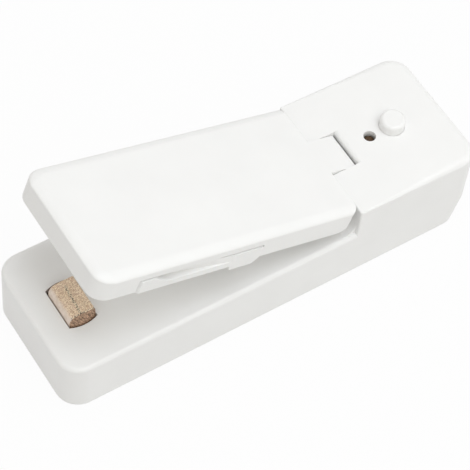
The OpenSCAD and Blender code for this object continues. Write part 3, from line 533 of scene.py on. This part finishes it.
SHARP = math.radians(28)
FLAT = math.radians(1)
SHELL_MERGE = 0.002 * MM
SHELL_EDGE = 0.12 * MM
EDGE_SEGMENTS = 3
ROUND_PROFILE = 0.5
NORMAL_WEIGHT = 100
LEVER_BOX = shut_box("lever_cover")
# The lever's soft top edge: its strip, its drop in the frame, the round drawn here and where it ends
BRIM_WIDTH = 2.7 * MM
BRIM_DROP = 1.1 * MM
BRIM_FALL = 1.2 * MM
BRIM_POWER = 0.65
BRIM_END = 3.5 * MM
BRIM_SLACK = 0.01


def soft_brim(point):
    """Lever's soft top edge, drawn from a quarter ellipse to an even round with a longer fall."""
    place = shut(point)
    low, high = LEVER_BOX
    rim = min(place.x - low.x, high.y - abs(place.y))
    rise = (place.z - high.z) / BRIM_DROP + 1
    if rim > BRIM_WIDTH or place.x > HINGE.x - BRIM_END or not -BRIM_SLACK < rise < 1:
        return point
    place.z = high.z - BRIM_FALL * (1 - max(0, rise)) ** BRIM_POWER
    return opened(place)


def shade_smooth(work):
    """Smooth faces that crease only at sharp edges."""
    for face in work.faces:
        face.smooth = True
    for edge in work.edges:
        edge.smooth = edge.calc_face_angle(0) < SHARP


def shell(node, form=None):
    """Copy of a node with smooth shading and small rounded edges, and with its points moved by form."""
    piece = bpy.data.objects.new(node + "_shell", nodes[node].data.copy())
    scene.collection.objects.link(piece)
    work = bmesh.new()
    work.from_mesh(piece.data)
    bmesh.ops.remove_doubles(work, verts=work.verts, dist=SHELL_MERGE)
    bmesh.ops.dissolve_limit(work, angle_limit=FLAT, verts=work.verts, edges=work.edges)
    if form:
        for vert in work.verts:
            vert.co = form(vert.co)
        work.normal_update()
    edges = [edge for edge in work.edges if len(edge.link_faces) == 2 and edge.calc_face_angle(0) > SHARP]
    bmesh.ops.bevel(work, geom=edges, offset=SHELL_EDGE, segments=EDGE_SEGMENTS, profile=ROUND_PROFILE,
                    affect="EDGES", clamp_overlap=True)
    shade_smooth(work)
    work.to_mesh(piece.data)
    work.free()
    normals = piece.modifiers.new("normals", "WEIGHTED_NORMAL")
    normals.keep_sharp = True
    normals.weight = NORMAL_WEIGHT
    dress(piece, LOOKS[node])
    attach(piece, nodes[node]["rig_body"])
    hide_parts(node)


for name in ("base_shell", "bottom_cover", "lever_underplate", "power_button", "cutter_arm"):
    shell(name)
shell("lever_cover", soft_brim)


# Helpers for pieces that are modelled here

PIECE_MERGE = 0.004 * MM


def new_piece(name, verts, faces, look, body, slot, *stands_for):
    """Smooth mesh piece that rides on a body and stands for CAD nodes."""
    mesh = bpy.data.meshes.new(name)
    mesh.from_pydata(verts, [], faces)
    work = bmesh.new()
    work.from_mesh(mesh)
    bmesh.ops.remove_doubles(work, verts=work.verts, dist=PIECE_MERGE)
    bmesh.ops.recalc_face_normals(work, faces=work.faces)
    shade_smooth(work)
    work.to_mesh(mesh)
    work.free()
    piece = bpy.data.objects.new(name, mesh)
    scene.collection.objects.link(piece)
    dress(piece, look)
    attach(piece, body)
    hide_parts(*stands_for)
    return piece


def grid(verts, faces, rows):
    """Adds a patch of quads over equally long rows of points."""
    start = len(verts)
    width = len(rows[0])
    for row in rows:
        verts.extend(row)
    for i in range(len(rows) - 1):
        for k in range(width - 1):
            first = start + i * width + k
            faces.append((first, first + 1, first + 1 + width, first + width))


def tube(path, radius, sides):
    """Points and faces of a round tube along a path, with both ends closed."""
    verts, faces = [], []
    last = len(path) - 1
    for i, point in enumerate(path):
        along = (path[min(i + 1, last)] - path[max(i - 1, 0)]).normalized()
        across = Vector((0, 0, 1)).cross(along).normalized()
        other = along.cross(across)
        for k in range(sides):
            angle = 2 * math.pi * k / sides
            verts.append(point + radius * (math.cos(angle) * across + math.sin(angle) * other))
    for i in range(last):
        for k in range(sides):
            first = i * sides + k
            second = i * sides + (k + 1) % sides
            faces.append((first, second, second + sides, first + sides))
    faces.append(tuple(range(sides - 1, -1, -1)))
    faces.append(tuple(range(last * sides, (last + 1) * sides)))
    return verts, faces


def lathe(profile, centre, sides):
    """Points and faces of a turned form; the profile runs from axis to axis as (radius, height)."""
    verts, faces = [], []
    rows = []
    for k in range(sides + 1):
        angle = 2 * math.pi * k / sides
        rows.append([centre + Vector((r * math.cos(angle), r * math.sin(angle), z)) for r, z in profile])
    grid(verts, faces, rows)
    return verts, faces


# Glass cloth over the heater, wrapped round the carrier

CLOTH_FRONT_R = 1.5 * MM
CLOTH_REAR_R = 0.5 * MM
CLOTH_THICK = 0.2 * MM
CLOTH_CORNER = 0.8 * MM
CLOTH_BULGE = 0.7 * MM
CLOTH_SLIT = 0.08 * MM
CLOTH_SKIRT = 0.6 * MM
END_SLIT = 0.2 * MM
THREAD = 0.56 * MM
THREAD_RISE = 0.035 * MM
STRIP_HALF = 0.8 * MM
STRIP_RISE = 0.05 * MM
STRIP_EDGE = 0.35 * MM
STRIP_STEEP = 8
WRAP_RISE = 0.02 * MM
# How closely the cloth's mesh is divided, and how soon its weave fades down the sides
CLOTH_CELL = 0.09 * MM
FRONT_STEPS = 12
REAR_STEPS = 8
ALONG_STEPS = 120
HEIGHT_STEPS = 30
WEAVE_FADE = 6


def heater_cloth():
    low, high = CLOTH_LOW, CLOTH_HIGH
    half = (high.x - low.x) / 2 - CLOTH_SLIT
    foot = (high.y - low.y) / 2 - CLOTH_BULGE - END_SLIT
    top = high.z - STRIP_RISE - THREAD_RISE
    deck = BASE_LOW.z + DECK_HEIGHT

    def crown(x):
        """Height of the cloth without its threads, rounded at the front and rear edges."""
        for inset, radius in ((half + x, CLOTH_FRONT_R), (half - x, CLOTH_REAR_R)):
            if inset < radius:
                return top - radius + math.sqrt(max(0, radius ** 2 - (radius - inset) ** 2))
        return top

    def reach(x, z):
        """Half length at a height: the ends lean out and swell towards the deck."""
        swell = min(1, max(0, (top - z) / (top - deck)))
        return CLOTH_TOP_HALF + swell * (foot - CLOTH_TOP_HALF + CLOTH_BULGE * (1 - (x / half) ** 2))

    def placed(x, y, z):
        """Point of the cloth, with the upright edge between its front and its far end rounded."""
        short = CLOTH_CORNER - (reach(-half, z) - y)
        if short > 0:
            dent = CLOTH_CORNER - math.sqrt(max(0, CLOTH_CORNER ** 2 - min(short, CLOTH_CORNER) ** 2))
            x += dent * (half - x) / (2 * half)
        return Vector((CLOTH_MIDDLE.x + x, CLOTH_MIDDLE.y + y, z))

    def weave(x, y):
        """Rise over the heating strip, with soft edges, and of the threads."""
        strip = STRIP_RISE / (1 + math.exp(STRIP_STEEP * (abs(x) - STRIP_HALF) / STRIP_EDGE))
        threads = THREAD_RISE * math.sin(math.pi * x / THREAD) * math.sin(math.pi * y / THREAD)
        return strip + threads

    def wraps(x, z):
        """Folds of the ends, fading out under the top edge and towards the corners."""
        fold = WRAP_RISE * math.sin(2 * math.pi * z / WRAP_STEP)
        return fold * min(1, (top - z) / WRAP_STEP) * (1 - (x / half) ** 2)

    def roof(x, v):
        y = v * reach(x, crown(x))
        return placed(x, y, crown(x) + weave(x, y))

    def side(x, v, z, fold):
        """Point of a side: its heights are squeezed under the rounded edges and end at the roof."""
        share = (z - low.z) / (top - low.z)
        level = low.z + share * (crown(x) - low.z)
        y = v * reach(x, level)
        return placed(x, y + math.copysign(fold, v), level + share ** WEAVE_FADE * weave(x, y))

    steps = round(2 * half / CLOTH_CELL)
    front = {-half + CLOTH_FRONT_R * (1 - math.cos(math.pi * i / (2 * FRONT_STEPS)))
             for i in range(FRONT_STEPS + 1)}
    rear = {half - CLOTH_REAR_R * (1 - math.cos(math.pi * i / (2 * REAR_STEPS)))
            for i in range(REAR_STEPS + 1)}
    even = {x for x in (-half + 2 * half * i / steps for i in range(steps + 1))
            if CLOTH_FRONT_R - half < x < half - CLOTH_REAR_R}
    columns = sorted(front | rear | even)
    along = [-1 + 2 * i / ALONG_STEPS for i in range(ALONG_STEPS + 1)]
    heights = [low.z]
    for i in range(HEIGHT_STEPS + 1):
        heights.append(deck - CLOTH_SKIRT + (top - deck + CLOTH_SKIRT) * i / HEIGHT_STEPS)
    verts, faces = [], []
    grid(verts, faces, [[roof(x, v) for v in along] for x in columns])
    for x in (-half, half):
        grid(verts, faces, [[side(x, v, z, 0) for v in along] for z in heights])
    for v in (-1, 1):
        grid(verts, faces, [[side(x, v, z, wraps(x, z)) for x in columns] for z in heights])
    piece = new_piece("heater_cloth", verts, faces, CLOTH, "base", "glass_cloth", "ptfe_cover")
    thickness = piece.modifiers.new("thickness", "SOLIDIFY")
    thickness.thickness = CLOTH_THICK
    thickness.offset = -1


# Opening spring: a smooth coil whose turns lean more and more, up to the lever's tilt

SPRING_WIRE = 0.6 * MM
SPRING_TURNS = 5
RING_STEPS = 36
WIRE_SIDES = 12


def opening_spring():
    low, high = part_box("opening_spring")
    centre = (low + high) / 2
    radius = (high.x - low.x - SPRING_WIRE) / 2
    lever_low = shut_box("lever_underplate")[0].z + PEG_HEIGHT
    slope = math.tan(OPEN_ANGLE)
    floor = low.z + SPRING_WIRE / 2
    path = []
    for i in range(SPRING_TURNS * RING_STEPS + 1):
        share = i / (SPRING_TURNS * RING_STEPS)
        angle = 2 * math.pi * SPRING_TURNS * share
        x = centre.x + radius * math.cos(angle)
        y = radius * math.sin(angle)
        lid = HINGE.z + (lever_low - HINGE.z) / math.cos(OPEN_ANGLE) + (HINGE.x - x) * slope
        roof = lid - SPRING_WIRE / 2 / math.cos(OPEN_ANGLE)
        path.append(Vector((x, y, floor + share * (roof - floor))))
    verts, faces = tube(path, SPRING_WIRE / 2, WIRE_SIDES)
    piece = new_piece("opening_spring_coil", verts, faces, STEEL, "base", "steel", "opening_spring")
    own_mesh(piece)


# Press pad under the lever: a crowned face with round edges, on a wider foot

PAD_EDGE = 0.5 * MM
PAD_EDGE_STEPS = 8
PAD_CROWN = 0.12 * MM
PAD_CORNER = 0.8 * MM
PAD_CORNER_LEAST = 0.25 * MM
PAD_CORNER_STEPS = 12
# The soft step between the face and the foot
STEP_BELOW = 0.05 * MM
STEP_INSET = 0.02 * MM
STEP_ABOVE = 0.1 * MM


def press_pad():
    low, high = shut_box("press_pad")
    centre = (low + high) / 2
    half = Vector((high.x - low.x, high.y - low.y)) / 2
    step = low.z + PAD_FACE_DEPTH
    levels = []
    for i in range(PAD_EDGE_STEPS + 1):
        angle = math.pi / 2 * i / PAD_EDGE_STEPS
        inset = PAD_RIM + PAD_EDGE * (1 - math.sin(angle))
        levels.append((inset, low.z + PAD_EDGE * (1 - math.cos(angle))))
    levels += [(PAD_RIM, step - STEP_BELOW), (STEP_INSET, step), (0, step + STEP_ABOVE), (0, high.z)]
    verts, faces = [], []
    rows = []
    for inset, z in levels:
        radius = max(PAD_CORNER_LEAST, PAD_CORNER - inset / 2)
        row = []
        for quarter, (sign_x, sign_y) in enumerate(((1, 1), (-1, 1), (-1, -1), (1, -1))):
            for k in range(PAD_CORNER_STEPS + 1):
                angle = math.pi / 2 * (quarter + k / PAD_CORNER_STEPS)
                x = centre.x + sign_x * (half.x - inset - radius) + radius * math.cos(angle)
                y = centre.y + sign_y * (half.y - inset - radius) + radius * math.sin(angle)
                row.append(opened((x, y, z)))
        rows.append(row + [row[0]])
    grid(verts, faces, rows)
    for row, z, lift in ((rows[0], low.z, -PAD_CROWN), (rows[-1], high.z, 0)):
        start = len(verts)
        hub = opened((centre.x, centre.y, z + lift))
        verts.extend(row[:-1] + [hub])
        count = len(row) - 1
        faces.extend((start + k, start + (k + 1) % count, start + count) for k in range(count))
    piece = new_piece("press_pad_cushion", verts, faces, PADDING, "lever", "pad_rubber", "press_pad")


# Indicator lamp: a domed lens over a flanged foot, with two leads

LAMP_FLANGE = 0.08 * MM
LAMP_FLANGE_HEIGHT = 0.5 * MM
LAMP_CROWN = 0.5 * MM
LAMP_CROWN_STEPS = 12
LAMP_SIDES = 40
LEAD_OVERLAP = 0.1 * MM


def indicator_lamp():
    low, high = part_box("indicator_led")
    centre = Vector(((low.x + high.x) / 2, 0, 0))
    radius = (high.x - low.x) / 2
    slim = radius - LAMP_FLANGE
    body_low = high.z - LAMP_BODY
    flange_top = body_low + LAMP_FLANGE_HEIGHT
    dome = high.z - LAMP_CROWN
    profile = [(0, body_low), (radius, body_low), (radius, flange_top), (slim, flange_top)]
    for i in range(LAMP_CROWN_STEPS + 1):
        angle = math.pi / 2 * i / LAMP_CROWN_STEPS
        profile.append((slim * math.cos(angle), dome + LAMP_CROWN * math.sin(angle)))
    verts, faces = lathe(profile, centre, LAMP_SIDES)
    half = LAMP_LEAD / 2
    square = ((-half, -half), (half, -half), (half, half), (-half, half), (-half, -half))
    for sign in (-1, 1):
        y = sign * radius / 2
        rows = []
        for z in (low.z, body_low + LEAD_OVERLAP):
            rows.append([centre + Vector((x, y + across, z)) for x, across in square])
        grid(verts, faces, rows)
    new_piece("indicator_lamp", verts, faces, LAMP, "base", "lamp_plastic", "indicator_led")


heater_cloth()
opening_spring()
press_pad()
indicator_lamp()

make_camera()
make_stage()
